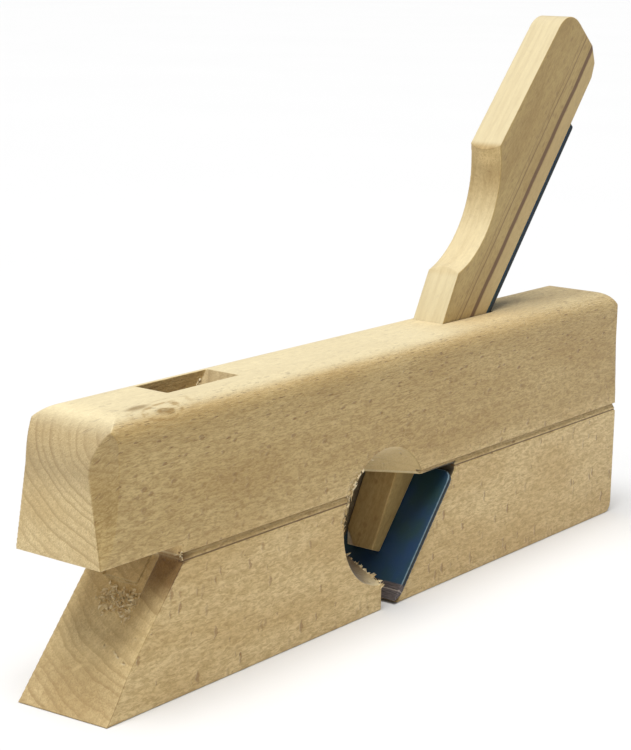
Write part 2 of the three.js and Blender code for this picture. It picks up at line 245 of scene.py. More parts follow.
class Graph:
    """One procedural material, built node by node. An input takes a plain value or a socket."""

    def __init__(self, name):
        self.material = bpy.data.materials.new(name)
        self.material.use_nodes = True
        self.nodes = self.material.node_tree.nodes
        self.links = self.material.node_tree.links
        self.nodes.clear()

    def put(self, kind, inputs, **settings):
        """Adds a node. inputs go to its sockets, settings to its own properties."""
        node = self.nodes.new("ShaderNode" + kind)
        for name, value in settings.items():
            setattr(node, name, value)
        for key, value in inputs.items():
            if isinstance(value, bpy.types.NodeSocket):
                self.links.new(value, node.inputs[key])
            else:
                node.inputs[key].default_value = value
        return node

    def math(self, operation, *values):
        return self.put("Math", dict(enumerate(values)), operation=operation).outputs[0]

    def plus(self, *values):
        total = values[0]
        for value in values[1:]:
            total = self.math("ADD", total, value)
        return total

    def times(self, a, b):
        return self.math("MULTIPLY", a, b)

    def dot(self, vector, direction):
        node = self.put("VectorMath", {0: vector, 1: direction}, operation="DOT_PRODUCT")
        return node.outputs["Value"]

    def place(self, origin, *axes):
        """Distances from the origin along each axis, all in the piece's own coordinates."""
        own = self.put("TexCoord", {}).outputs["Object"]
        back = tuple(Vector(origin) * -MM)
        local = self.put("VectorMath", {0: own, 1: back}, operation="ADD").outputs[0]
        return [self.dot(local, tuple(Vector(axis) / MM)) for axis in axes]

    def combine(self, x, y, z):
        return self.put("CombineXYZ", {0: x, 1: y, 2: z}).outputs[0]

    def stretched(self, point, rates):
        """A vector from a point's three coordinates, each multiplied by its rate."""
        return self.combine(*(self.times(v, rate) for v, rate in zip(point, rates)))

    def noise(self, vector, scale=1.0, detail=2.0, roughness=0.5):
        inputs = {"Vector": vector, "Scale": scale, "Detail": detail, "Roughness": roughness}
        return self.put("TexNoise", inputs).outputs[0]

    def spots(self, vector, rarity):
        """Small blobs of uneven size and strength, at most one in each cell of 1 unit.

        rarity, from 0 to 1, is the share of cells that have none.
        """
        node = self.put("TexVoronoi", {"Vector": vector, "Scale": 1.0})
        luck = self.put("SeparateColor", {0: node.outputs["Color"]}).outputs
        size = self.step(luck[0], rarity, 1.0, -0.1, 0.48)
        outside = self.math("SUBTRACT", node.outputs["Distance"], size)
        blob = self.step(outside, -0.2, 0.02, 1.0, 0.0)
        return self.times(blob, self.step(luck[1], 0.0, 1.0, 0.15, 1.0))

    def step(self, value, low, high, start=0.0, end=1.0):
        """Goes smoothly from start to end as value goes from low to high."""
        inputs = {0: value, 1: low, 2: high, 3: start, 4: end}
        return self.put("MapRange", inputs, interpolation_type="SMOOTHSTEP").outputs[0]

    def band(self, value, low, high, soft):
        """1 where value lies between low and high, 0 elsewhere, with soft flanks."""
        rise = self.step(value, low - soft, low + soft)
        fall = self.step(value, high - soft, high + soft, 1.0, 0.0)
        return self.times(rise, fall)

    def mix(self, factor, a, b, blend="MIX"):
        node = self.put("Mix", {0: factor, 6: a, 7: b}, data_type="RGBA", blend_type=blend)
        return node.outputs[2]

    def facing(self):
        """The surface's direction in the piece's own axes, which turn with the piece."""
        normal = self.put("NewGeometry", {}).outputs["Normal"]
        turned = self.put("VectorTransform", {0: normal}, vector_type="NORMAL",
                          convert_from="WORLD", convert_to="OBJECT")
        return turned.outputs[0]

    def attribute(self, name):
        return self.put("Attribute", {}, attribute_name=name).outputs["Fac"]

    def bump(self, height, depth):
        inputs = {"Height": height, "Distance": depth * MM, "Strength": 1.0}
        return self.put("Bump", inputs).outputs[0]

    def finish(self, colour, roughness, normal, plain=()):
        """Ends the material. plain holds any further inputs of the shader."""
        inputs = {"Base Color": colour, "Roughness": roughness, "Normal": normal}
        inputs.update(plain)
        shader = self.put("BsdfPrincipled", inputs)
        output = self.put("OutputMaterial", {"Surface": shader.outputs[0]})
        output.is_active_output = True
        return self.material


def rgb(red, green, blue):
    """Linear colour from display values of 0 to 255."""
    def linear(v):
        v /= 255
        return v / 12.92 if v <= 0.04045 else ((v + 0.055) / 1.055) ** 2.4
    return (linear(red), linear(green), linear(blue), 1.0)


# Raw beech
PALE = rgb(232, 207, 151)
TAN = rgb(214, 185, 126)
CREAM = rgb(246, 235, 196)
LATE_WOOD = rgb(168, 133, 72)
RAY = rgb(142, 100, 48)
KNOT_HEART = rgb(138, 108, 54)
BROWN = rgb(112, 78, 42)
STREAK = rgb(98, 60, 18)

# Torn wood, and painted shade for the groove's creases and the deep throat
TORN = rgb(236, 216, 172)
FIBRE_LIGHT = rgb(240, 226, 190)
FIBRE_DARK = rgb(206, 180, 132)
CREASE_SHADE = rgb(100, 72, 38)
THROAT_SHADE = rgb(52, 48, 40)

# Tints that are multiplied into the wood. All but SLANT_CUT are painted shade
UPPER_SIDE_SHADE = rgb(231, 227, 213)
SLANT_CUT = rgb(230, 228, 222)
UPPER_TOE_SHADE = rgb(213, 209, 204)
SHADE_TINT = rgb(156, 138, 112)
WEDGE_SIDE_SHADE = rgb(206, 198, 168)
WEDGE_FRONT_SHADE = rgb(206, 200, 190)

# The iron
PAINT_GREEN = rgb(40, 70, 76)
PAINT_BLUE = rgb(36, 66, 102)
PAINT_SPECK = rgb(58, 90, 110)
PAINT_SIDE_SHADE = rgb(14, 24, 26)
PAINT_WORN_AND_LIT = rgb(112, 134, 144)
STEEL_DARK = rgb(82, 76, 78)
STEEL_LIGHT = rgb(122, 114, 112)
SEAM = rgb(190, 180, 170)
# How far up from the cutting edge the paint ends, and where the seam of the hard edge lies
PAINT_END_S = 5.1
SEAM_S = 2.95

# How deep the bump of each material is
STOCK_RELIEF = 0.18
WEDGE_RELIEF = 0.05
FIBRE_RELIEF = 0.08
IRON_RELIEF = 0.03

FIBRE_ROUGHNESS = 0.75
RAW_WOOD = {"Sheen Weight": 0.3, "Sheen Roughness": 0.45, "Specular IOR Level": 0.4}

# For each block: where its pith runs (across, up), how wide a year's ring is, how mottled it is
STOCK_RINGS = {"pith": (-26.0, 91.0), "spacing": 2.6, "mottled": 1.0}
WEDGE_RINGS = {"pith": (70.0, 40.0), "spacing": 3.3, "mottled": 0.5}
# How strongly the rings show on the stock's sides, how much more on its ends, and on the wedge
SIDE_CONTRAST = 0.10
END_CONTRAST = 0.6
WEDGE_CONTRAST = 0.2
# How far the rings stray from true circles, slowly and quickly
RING_WANDER = 8.0
RING_SHIVER = 1.2
# A ray's size along the grain, round the rings and through them, in its two views
RAY_DASH = (2.8, 0.85, 5.0)
RAY_UPRIGHT = (1.8, 0.9, 6.0)
RAY_BEND = 2.4
# Turns an angle at the pith into roughly millimetres along a ring
TURN_LENGTH = 55.0


def round_pith(g, point, pith):
    """Place round the pith: its two offsets, the wandering radius, and the distance round it."""
    wander = g.noise(g.stretched(point, (0.008, 0.03, 0.03)), 1.0, 2.0)
    wander = g.math("MULTIPLY_ADD", wander, RING_WANDER, -RING_WANDER / 2)
    shiver = g.noise(g.stretched(point, (0.05, 0.25, 0.25)), 1.0, 2.0)
    shiver = g.math("MULTIPLY_ADD", shiver, RING_SHIVER, -RING_SHIVER / 2)
    a = g.plus(point[1], -pith[0])
    b = g.plus(point[2], -pith[1])
    radius = g.math("SQRT", g.plus(g.times(a, a), g.times(b, b)))
    radius = g.plus(radius, wander, shiver)
    turn = g.times(g.math("ARCTAN2", a, g.times(b, -1.0)), TURN_LENGTH)
    return a, b, radius, turn


def late_wood(g, radius, spacing):
    """The dark line that ends each year's ring. Years differ in width and strength."""
    uneven = g.noise(g.stretched((radius, 3.1, 0.0), (0.21, 1.0, 1.0)), 1.0, 0.0)
    count = g.plus(g.times(radius, 1.0 / spacing), g.times(uneven, 0.9))
    part = g.math("FRACT", count)
    late = g.times(g.step(part, 0.45, 0.93), g.step(part, 0.95, 1.0, 1.0, 0.0))
    year = g.put("TexWhiteNoise", {"W": g.math("FLOOR", count)}, noise_dimensions="1D")
    return g.times(late, g.step(year.outputs["Value"], 0.0, 1.0, 0.35, 1.0))


def bent_grain(g, along, radius, turn):
    """The grain's own coordinates (along it, round the rings, through them), slightly wavy."""
    bend = g.noise(g.stretched((along, turn, radius), (0.25, 0.9, 0.7)), 1.0, 2.0)
    bend = g.math("MULTIPLY_ADD", bend, RAY_BEND, -RAY_BEND / 2)
    return g.plus(along, bend), g.plus(turn, g.times(bend, 0.35)), g.plus(radius, bend)


def rays(g, grain, tangential):
    """Dashes on faces that follow a ring, and upright flecks on faces that cut across the rings."""
    dash = g.spots(g.stretched(grain, [1 / size for size in RAY_DASH]), 0.12)
    upright = g.spots(g.stretched(grain, [1 / size for size in RAY_UPRIGHT]), 0.4)
    upright = g.times(upright, g.math("SUBTRACT", 1.0, tangential))
    return g.math("MAXIMUM", g.times(dash, tangential), upright)


def beech(g, point, facing_across, facing_up, ring_contrast, pith, spacing, mottled):
    """Colour, roughness and height of beech whose grain runs along the point's first coordinate.

    Growth rings are shells round the pith. Rays are thin sheets that stand radially, so they show
    as dashes along the grain on one face and as upright flecks on another.
    """
    a, b, radius, turn = round_pith(g, point, pith)
    outward = g.plus(g.times(facing_across, a), g.times(facing_up, b))
    outward = g.math("ABSOLUTE", g.math("DIVIDE", outward, radius))
    tangential = g.step(outward, 0.16, 0.38)
    square = g.plus(g.times(facing_across, facing_across), g.times(facing_up, facing_up))
    long_grain = g.step(square, 0.3, 0.7)

    late = late_wood(g, radius, spacing)
    grain = bent_grain(g, point[0], radius, turn)
    ray = g.times(rays(g, grain, tangential), g.times(long_grain, mottled))
    pores = g.step(g.noise(g.combine(*point), 2.8, 2.0), 0.5, 0.66)
    pores = g.times(pores, g.math("SUBTRACT", 1.0, long_grain))
    cloud = g.noise(g.stretched(point, (0.02, 0.07, 0.07)), 1.0, 3.0)
    wool = g.noise(g.stretched(grain, (0.24, 1.1, 1.0)), 1.0, 3.0, 0.7)
    fleck = g.noise(g.stretched(grain, (0.55, 2.2, 2.0)), 1.0, 2.0, 0.6)
    mottling = g.step(long_grain, 0.0, 1.0, 0.34 * mottled, 0.48 * mottled)

    colour = g.mix(g.step(cloud, 0.3, 0.7), PALE, TAN)
    colour = g.mix(g.times(late, ring_contrast), colour, LATE_WOOD)
    colour = g.mix(g.times(g.step(wool, 0.40, 0.64), mottling), colour, LATE_WOOD)
    colour = g.mix(g.times(g.step(fleck, 0.43, 0.66), mottling), colour, LATE_WOOD)
    colour = g.mix(g.times(pores, 0.45), colour, LATE_WOOD)
    colour = g.mix(g.times(ray, 0.6), colour, RAY)

    rough = g.plus(0.58, g.times(fleck, 0.12), g.times(ray, -0.08))
    height = g.plus(g.times(wool, -0.8), g.times(fleck, -0.7), g.times(ray, -0.7),
                    g.times(late, -0.2))
    return colour, rough, height


def groove_marks(g, across, up, side_on):
    """Painted shade in the two sharp inner corners of the side groove, and painted highlights on
    the crests beside them.
    """
    step = g.band(up, GROOVE_HIGH - 0.55, GROOVE_HIGH + 0.1, 0.2)
    quirk = g.band(up, GROOVE_LOW, GROOVE_LOW + 0.6, 0.12)
    recessed = g.band(g.math("ABSOLUTE", across), SIDE_Y - 1.6, SIDE_Y - 0.2, 0.1)
    groove_shade = g.times(g.math("MAXIMUM", step, quirk), recessed)
    crest_highlights = g.plus(g.band(up, GROOVE_LOW + 0.62, GROOVE_LOW + 1.0, 0.12),
                    g.band(up, GROOVE_HIGH - 1.15, GROOVE_HIGH - 0.7, 0.15))
    return groove_shade, g.times(crest_highlights, g.step(side_on, 0.9, 0.7, 0.0, 0.6))


def toe_knot(g, along, across, up):
    """A knot in the rolled edge of the toe: the grain that swirls round it, and its dark hearts.

    The knot is stretched along the grain. A second, smaller heart lies nearer the toe, on the flat.
    """
    stretch, eye_stretch, eye_x, eye_y = 0.38, 0.8, -2.6, 3.4
    x, y, z = (g.plus(v, -k) for v, k in zip((along, across, up), KNOT))
    flow = g.stretched((along, across, up), (0.12, 0.3, 0.3))
    wander = g.math("MULTIPLY_ADD", g.noise(flow, 1.0, 2.0), KNOT_WANDER, -KNOT_WANDER / 2)
    x = g.plus(g.times(x, stretch), g.times(wander, 0.35))
    away = g.math("SQRT", g.plus(g.times(x, x), g.times(y, y), g.times(z, z)))
    away = g.plus(away, g.times(wander, 0.25))
    swirl = g.step(g.math("SINE", g.times(away, KNOT_LINES)), -0.6, 1.0)
    patchy = g.step(g.noise(flow, 3.0, 1.0), 0.35, 0.6)
    swirl = g.times(g.times(swirl, patchy), g.step(away, 1.0, KNOT_REACH, 1.0, 0.0))
    heart = g.step(away, 0.3, 1.7, 0.7, 0.0)
    eye_along = g.times(g.plus(x, -eye_x), eye_stretch)
    eye_across = g.plus(y, -eye_y)
    eye = g.math("SQRT", g.plus(g.times(eye_along, eye_along), g.times(eye_across, eye_across)))
    eye = g.times(g.step(eye, 0.5, 1.9, 1.0, 0.0), g.step(up, KNOT[2] - 3.0, KNOT[2]))
    return swirl, g.math("MAXIMUM", eye, heart)


def stock_tints(g, colour, along, up, facing_z, end_grain):
    """Broad differences of tone: a painted highlight on the top, stronger towards the toe, painted
    shade on the upper sides and the upper toe face, pale end grain, and painted light on the
    undersides.
    """
    # Painted highlight: faces turned up are mixed towards cream, more so towards the toe.
    top_highlight = g.times(g.step(facing_z, 0.6, 0.95), g.step(along, 55.0, 15.0, 0.2, 0.6))
    colour = g.mix(top_highlight, colour, CREAM)
    # Painted shade: the sides above the groove are darkened.
    upper_side_shade = g.times(g.step(up, 34.0, 48.0), g.step(facing_z, 0.7, 0.4))
    upper_side_shade = g.times(upper_side_shade, g.math("SUBTRACT", 1.0, end_grain))
    colour = g.mix(upper_side_shade, colour, UPPER_SIDE_SHADE, "MULTIPLY")
    # Painted shade on the upper part of the toe's end face.
    upper_toe_shade = g.times(g.step(up, 56.0, 70.0), end_grain)
    colour = g.mix(upper_toe_shade, colour, UPPER_TOE_SHADE, "MULTIPLY")
    colour = g.mix(g.times(end_grain, 0.12), colour, CREAM)
    # Painted light: faces turned down, such as the escapement's dome, are mixed towards pale.
    underside_light = g.step(facing_z, -0.2, -0.6, 0.0, 0.65)
    return g.mix(underside_light, colour, PALE)


def slanted_cuts(g, colour, up, end_on, side_on):
    """The chamfers, which cut across the grain at a slant, are a little darker low down."""
    slant = g.times(g.step(end_on, 0.2, 0.42), g.step(side_on, 0.35, 0.6))
    slant = g.times(slant, g.step(up, 72.0, 54.0, 0.3, 1.0))
    colour = g.mix(g.times(slant, 0.25), colour, LATE_WOOD)
    return g.mix(slant, colour, SLANT_CUT, "MULTIPLY")


def stock_material():
    g = Graph("beech_stock")
    along, across, up = g.place(ORIGIN, *AXES)
    facing = g.facing()
    facing_y, facing_z = g.dot(facing, (0, 1, 0)), g.dot(facing, (0, 0, 1))
    end_on = g.math("ABSOLUTE", g.dot(facing, (1, 0, 0)))
    side_on = g.math("ABSOLUTE", facing_y)
    end_grain = g.step(end_on, 0.3, 0.75)
    contrast = g.plus(SIDE_CONTRAST, g.times(end_grain, END_CONTRAST))
    point = (along, across, up)
    colour, rough, height = beech(g, point, facing_y, facing_z, contrast, **STOCK_RINGS)

    groove_shade, crest_highlights = groove_marks(g, across, up, side_on)
    swirl, heart = toe_knot(g, along, across, up)
    torn = g.attribute("torn")
    colour = stock_tints(g, colour, along, up, facing_z, end_grain)
    # Painted highlights on the groove's crests.
    colour = g.mix(crest_highlights, colour, CREAM)
    colour = slanted_cuts(g, colour, up, end_on, side_on)
    colour = g.mix(g.times(swirl, 0.85), colour, LATE_WOOD)
    colour = g.mix(g.times(heart, 0.7), colour, KNOT_HEART)
    # Painted shade on the bullnose bed under the overhanging toe, and low on the escapement's wall.
    colour = g.mix(g.attribute("painted_shade"), colour, SHADE_TINT, "MULTIPLY")
    # Painted shade deep in the throat.
    colour = g.mix(g.attribute("throat_shade"), colour, THROAT_SHADE)
    # Painted shade in the groove's two inner corners.
    colour = g.mix(g.times(groove_shade, 0.8), colour, CREASE_SHADE)
    colour = g.mix(g.times(torn, 0.8), colour, TORN)
    colour = g.mix(g.times(g.attribute("gouge"), 0.75), colour, BROWN)
    colour = g.mix(g.times(g.attribute("smear"), 0.6), colour, PALE)

    rough = g.plus(rough, g.times(torn, 0.2))
    return g.finish(colour, rough, g.bump(height, STOCK_RELIEF), RAW_WOOD)


def fibre_material():
    g = Graph("beech_fibre")
    strand = g.noise(g.combine(*g.place(ORIGIN, *AXES)), 0.9, 3.0)
    colour = g.mix(g.step(strand, 0.3, 0.7), FIBRE_LIGHT, FIBRE_DARK)
    return g.finish(colour, FIBRE_ROUGHNESS, g.bump(strand, FIBRE_RELIEF))


def wedge_front(g, colour, s, y, n, facing_n):
    """The front of the wedge has painted highlights, high on its outer face and low in its hollow,
    and faint veins; painted shade lies over the outer face and the top of its hollow.
    """
    front = g.step(facing_n, 0.45, 0.8)
    hollow = g.times(front, g.band(s, HOLLOW_LOW_S, HOLLOW_HIGH_S, 1.5))
    outer = g.math("SUBTRACT", front, hollow)
    # Painted highlights on the front.
    colour = g.mix(g.times(outer, g.step(s, 50.0, 90.0, 0.0, 0.7)), colour, CREAM)
    colour = g.mix(g.times(hollow, g.step(s, 144.0, 120.0, 0.0, 0.5)), colour, CREAM)
    veins = g.noise(g.stretched((s, y, n), (0.05, 0.8, 0.1)), 1.0, 3.0)
    veins = g.times(g.step(veins, 0.4, 0.7), g.times(front, 0.14))
    colour = g.mix(veins, colour, LATE_WOOD)
    # Painted shade on the front.
    shade = g.plus(g.times(outer, 0.45), g.times(hollow, g.step(s, 120.0, 144.0, 0.35, 0.8)))
    return g.mix(shade, colour, WEDGE_FRONT_SHADE, "MULTIPLY")


def wedge_streaks(g, colour, s, n, side_on):
    """Brown lines up the whole wedge, gently wavy, and paler wood behind the broad one."""
    wobble = g.noise(g.stretched((s, 0.0, 0.0), (0.03, 1.0, 1.0)), 1.0, 2.0)
    line = g.plus(n, g.times(g.math("SUBTRACT", wobble, 0.5), 1.6))
    outside = g.step(s, 44.0, 60.0)
    broad = g.band(line, 8.4, 10.2, 0.35)
    thin = g.plus(g.band(line, 14.5, 15.0, 0.2), g.times(g.band(line, 16.4, 16.7, 0.15), 0.7))
    behind = g.times(g.times(g.step(line, 8.6, 7.6), outside), side_on)
    back_edge = g.times(g.step(n, 1.6, 0.5), g.step(s, 128.0, 120.0))
    colour = g.mix(g.times(behind, 0.3), colour, PALE)
    colour = g.mix(g.times(g.times(broad, outside), 0.9), colour, STREAK)
    colour = g.mix(g.times(g.times(thin, outside), 0.7), colour, BROWN)
    return g.mix(g.times(g.times(back_edge, side_on), 0.45), colour, CREAM)


def wedge_material():
    g = Graph("beech_wedge")
    s, y, n = g.place((MAIN_SEAT_X, 0, 0), SEAT_AXIS, (0, 1, 0), OFF_BED)
    facing = g.facing()
    facing_y, facing_n = g.dot(facing, (0, 1, 0)), g.dot(facing, tuple(OFF_BED))
    side_on = g.step(g.math("ABSOLUTE", facing_y), 0.6, 0.95)
    colour, rough, height = beech(g, (s, y, n), facing_y, facing_n, WEDGE_CONTRAST, **WEDGE_RINGS)
    # Painted shade: the wedge's sides are darkened, and the whole wedge a little where it sits low
    # in the throat.
    colour = g.mix(g.times(side_on, 0.9), colour, WEDGE_SIDE_SHADE, "MULTIPLY")
    colour = g.mix(g.step(s, 52.0, 40.0, 0.0, 0.1), colour, WEDGE_SIDE_SHADE, "MULTIPLY")
    colour = wedge_front(g, colour, s, y, n, facing_n)
    colour = wedge_streaks(g, colour, s, n, side_on)
    return g.finish(colour, rough, g.bump(height, WEDGE_RELIEF), RAW_WOOD)


def blue_paint(g, s, y, n, speck):
    """Blue paint with a greener cast in places, fine specks, and painted shade on its sides."""
    cloud = g.noise(g.stretched((s, y, n), (0.06, 0.09, 1.0)), 1.0, 3.0)
    paint = g.mix(g.step(cloud, 0.35, 0.65), PAINT_GREEN, PAINT_BLUE)
    paint = g.mix(g.step(speck, 0.55, 0.75, 0.0, 0.3), paint, PAINT_SPECK)
    # Painted shade: the iron's sides are mixed towards near black.
    side_on = g.step(g.math("ABSOLUTE", g.dot(g.facing(), (0, 1, 0))), 0.6, 0.95)
    return g.mix(g.times(side_on, 0.9), paint, PAINT_SIDE_SHADE)


def iron_material():
    """Paint that is rubbed at the arrises low down, with a painted highlight along them in the same
    pale colour, and bare steel at the cutting edge.
    """
    g = Graph("blue_iron")
    s, y, n = g.place((MAIN_SEAT_X, 0, 0), SEAT_AXIS, (0, 1, 0), OFF_BED)
    speck = g.noise(g.stretched((s, y, n), (1.3, 1.3, 1.3)), 1.0, 4.0, 0.65)
    brushed = g.noise(g.stretched((s, y, n), (7.0, 0.35, 1.0)), 1.0, 2.0)
    paint = blue_paint(g, s, y, n, speck)
    # Rubbed paint at the arrises, whose pale colour also stands for a painted highlight along them.
    worn_and_lit = g.plus(g.attribute("arris"), g.times(g.math("SUBTRACT", speck, 0.5), 0.6))
    worn_and_lit = g.times(g.step(worn_and_lit, 0.45, 0.75), g.step(s, 62.0, 50.0, 0.1, 1.0))

    wobble = g.noise(g.stretched((0.0, y, 0.0), (1.0, 0.4, 1.0)), 1.0, 3.0)
    rim = g.plus(s, g.times(g.math("SUBTRACT", wobble, 0.5), 1.6))
    bare = g.step(rim, PAINT_END_S - 0.3, PAINT_END_S + 0.3, 1.0, 0.0)
    seam = g.band(rim, SEAM_S - 0.15, SEAM_S + 0.15, 0.15)
    steel = g.mix(g.step(brushed, 0.35, 0.65), STEEL_DARK, STEEL_LIGHT)
    steel = g.mix(g.times(seam, 0.8), steel, SEAM)
    colour = g.mix(worn_and_lit, paint, PAINT_WORN_AND_LIT)
    colour = g.mix(bare, colour, steel)

    rough = g.plus(0.40, g.times(speck, 0.18), g.times(bare, 0.1))
    metal = g.plus(g.times(bare, 0.6), g.times(worn_and_lit, 0.25))
    height = g.plus(g.times(speck, 0.6), g.times(g.times(brushed, bare), 0.5), g.times(bare, -0.8))
    plain = {"Metallic": metal, "Specular IOR Level": 0.3}
    return g.finish(colour, rough, g.bump(height, IRON_RELIEF), plain)


# ---- The three pieces -------------------------------------------------------------------------


def ramp(values, low, high):
    """0 below low and 1 above high, smoothly in between. low may be the larger one."""
    t = np.clip((values - low) / (high - low), 0, 1)
    return t * t * (3 - 2 * t)


def off_bed(points, seat_x):
    """Distance up a bed and off it, for each point."""
    x, z = points[:, 0] - seat_x, points[:, 2]
    cos, sin = math.cos(BED_ANGLE), math.sin(BED_ANGLE)
    return x * cos + z * sin, z * cos - x * sin


def rough_at(points, chosen, size, seed):
    """Noise from 0 to 1 at the chosen points, 0 elsewhere. size is the grain of it."""
    values = np.zeros(len(points))
    shift = Vector((seed * 17.0, seed * 5.0, 0.0))
    for i in np.flatnonzero(chosen):
        values[i] = 0.5 + 0.5 * noise.noise(Vector(points[i]) / size + shift)
    return values


def skew_toe_tip(points):
    """The tip of the bullnose bed is a little shorter on the near side, where it was trimmed."""
    near_tip = ramp(points[:, 0], TIP_START, TOE_SEAT_X) * (points[:, 2] < TIP_HEIGHT)
    points[:, 0] += TIP_SKEW * near_tip * (SIDE_Y - points[:, 1]) / (2 * SIDE_Y)


def sink_toe_channel(points):
    """Where the toe mortise was chopped down the bed, the wood is bruised a little below it."""
    s, n = off_bed(points, TOE_SEAT_X)
    y = points[:, 1]
    on_bed = (np.abs(n) < BED_SKIN) & (s < BED_TOP_S)
    near_wall = ramp(y, CHANNEL_LOW_Y - 0.3, CHANNEL_LOW_Y + 0.3)
    far_wall = ramp(y, CHANNEL_HIGH_Y, CHANNEL_HIGH_Y - 5.0)
    ragged = 2 * rough_at(points, on_bed & (s > CHANNEL_ROUGH_S), size=2.0, seed=3) - 1
    down = ramp(s + CHANNEL_RAGGED * ragged, CHANNEL_END_S, CHANNEL_END_S + 1.5)
    sunk = CHANNEL_DEPTH * near_wall * far_wall * down * on_bed
    points -= sunk[:, None] * np.array(OFF_BED)


def tear_rim(points):
    """Breaks the left rim of the escapement, across the grain. Returns how torn each point is."""
    x = points[:, 0] - ESCAPE_CENTRE[0]
    z = points[:, 2] - ESCAPE_CENTRE[1]
    outside = np.hypot(x, z) - ESCAPE_RADIUS
    face = (points[:, 1] < 0.2 - SIDE_Y) & (outside > -0.4) & (outside < 2.4)
    angle = np.degrees(np.arctan2(z, x))
    left = ramp(np.abs(angle - RIM_TEAR_ANGLE), RIM_TEAR_SPREAD, RIM_TEAR_SPREAD * 0.6)
    chips = rough_at(points, face & (left > 0), size=0.9, seed=5)
    torn = face * left * ramp(chips, 0.42, 0.62) * ramp(outside, 2.2, 0.4)
    points[:, 1] += RIM_TEAR_DEPTH * torn
    return torn


def from_stroke(points, place, direction):
    """Each point's distance along a straight stroke from its middle, and aside from it."""
    away = points - np.array(place)
    run = np.array(direction) / np.linalg.norm(direction)
    along = away @ run
    return np.abs(along), np.linalg.norm(away - along[:, None] * run, axis=1)


def cut_gouges(points):
    """Splits and dents in the bullnose bed and the near side. Returns how deep each point is."""
    deep = np.zeros(len(points))
    for place, direction, length, width, depth in GOUGES:
        along, aside = from_stroke(points, place, direction)
        near = (aside < 2 * width) & (along < length)
        uneven = rough_at(points, near, size=GOUGE_GRAIN, seed=9) * near
        inside = ramp(aside + uneven * width * 0.7, width, 0.0)
        inside = inside * ramp(along + uneven, length / 2, length / 4)
        deep = np.maximum(deep, inside)
        on_near_side = place[1] < 0.5 - SIDE_Y
        inward = np.array((0.0, 1.0, 0.0)) if on_near_side else -np.array(OFF_BED)
        points += inward * (depth * inside)[:, None]
    return deep


def scrape(points):
    """Where the bullnose bed was rubbed pale. Returns how strongly at each point."""
    pale = np.zeros(len(points))
    for place, direction, length, width in SMEARS:
        along, aside = from_stroke(points, place, direction)
        stroke = ramp(aside, width, 0.0) * ramp(along, length / 2, length / 4)
        pale = np.maximum(pale, stroke)
    return pale


def on_cone(points):
    """1 where a point is on the escapement's conical wall, 0 elsewhere."""
    x, y, z = points.T
    from_axis = np.hypot(x - ESCAPE_CENTRE[0], z - ESCAPE_CENTRE[1])
    wall = ESCAPE_RADIUS - ESCAPE_TAPER * (y + SIDE_Y)
    return (np.abs(from_axis - wall) < 0.5) * (y > 0.4 - SIDE_Y)


def painted_shade_on(points):
    """How much painted shade lies at each point of the bullnose bed and the escapement's wall."""
    y, z = points[:, 1], points[:, 2]
    s, n = off_bed(points, TOE_SEAT_X)
    reach = 1.2 + 2 * ramp(s, 16, 6)
    on_bed = (np.abs(n) < reach) & (s < SHADE_TOP_S) & (np.abs(y) < SIDE_Y)
    beside_channel = ramp(y, CHANNEL_LOW_Y + 0.4, CHANNEL_LOW_Y - 0.4) * ramp(s, 28, 46)
    bed = on_bed * (beside_channel * 0.95 + ramp(s, 36, 50) * 0.4 + ramp(s, 22, 8) * 0.4)
    wall = on_cone(points) * ramp(z, 6.5, 13) * ramp(z, 40, 30)
    return np.maximum(bed, wall)


def throat_shade_on(points):
    """Painted shade where the escapement lies in deep shadow inside: its far cheek, the corner
    above the iron, low down.
    """
    x, y, z = points.T
    inside = (x > MOUTH_X - 0.5) & (x < 30) & (z < THROAT_CEILING + 0.4)
    cheek = inside & (y > CHEEK_Y - 0.4) & (y < CHEEK_Y + 0.6)
    corner = inside & (y > 0.5 - SIDE_Y) & (y < CHEEK_Y) & (x > RECESS_X) & (z > RECESS_Z)
    low = on_cone(points) * ramp(z, 8, 13) * ramp(z, 26, 20)
    return np.max((cheek * 0.85, corner * 0.9, low * 0.4), axis=0)


def splinter(bm, root, direction, curl, length, width):
    """A torn fibre: a thin tapered sliver that bends towards curl as it leaves its root."""
    direction, curl = Vector(direction).normalized(), Vector(curl)
    side = direction.orthogonal().normalized()
    centre, rings = Vector(root), []
    for i in range(SPLINTER_STEPS + 1):
        share = i / SPLINTER_STEPS
        heading = (direction + curl * share).normalized()
        side = (side - heading * side.dot(heading)).normalized()
        third = heading.cross(side)
        half = width / 2 * (1 - share) ** 0.7 + SPLINTER_TIP
        corners = (side * half, -side * half, third * half * 0.5)
        rings.append([bm.verts.new((centre + corner) * MM) for corner in corners])
        centre = centre + heading * length / SPLINTER_STEPS
    for lower, upper in zip(rings, rings[1:]):
        for j in range(3):
            k = (j + 1) % 3
            bm.faces.new((lower[j], lower[k], upper[k], upper[j]))
    bm.faces.new(reversed(rings[0]))
    bm.faces.new(rings[-1])


def channel_fibres(bm, luck, count, length, width):
    """Curly torn end of the toe mortise, half way down the bullnose bed."""
    for _ in range(count):
        y = luck.gauss(CHANNEL_TEAR_Y, 3.2)
        y = min(max(y, CHANNEL_LOW_Y + 0.5), CHANNEL_HIGH_Y - 1.5)
        beyond = luck.gauss(1.6, 1.9)
        root_n = -0.15 if beyond < 0 else -0.6
        root = seat_point(TOE_SEAT_X, CHANNEL_END_S + beyond, root_n, y)
        lie = Vector((0, luck.uniform(-1.0, 1.0), 0)) - SEAT_AXIS * luck.uniform(-0.4, 1.0)
        curl = Vector((luck.uniform(-1.6, 0.6), luck.uniform(-1.6, 1.6), luck.uniform(-1.6, 1.2)))
        lie += OFF_BED * luck.uniform(0.1, 0.7)
        splinter(bm, root, lie, curl, luck.uniform(*length), luck.uniform(*width))


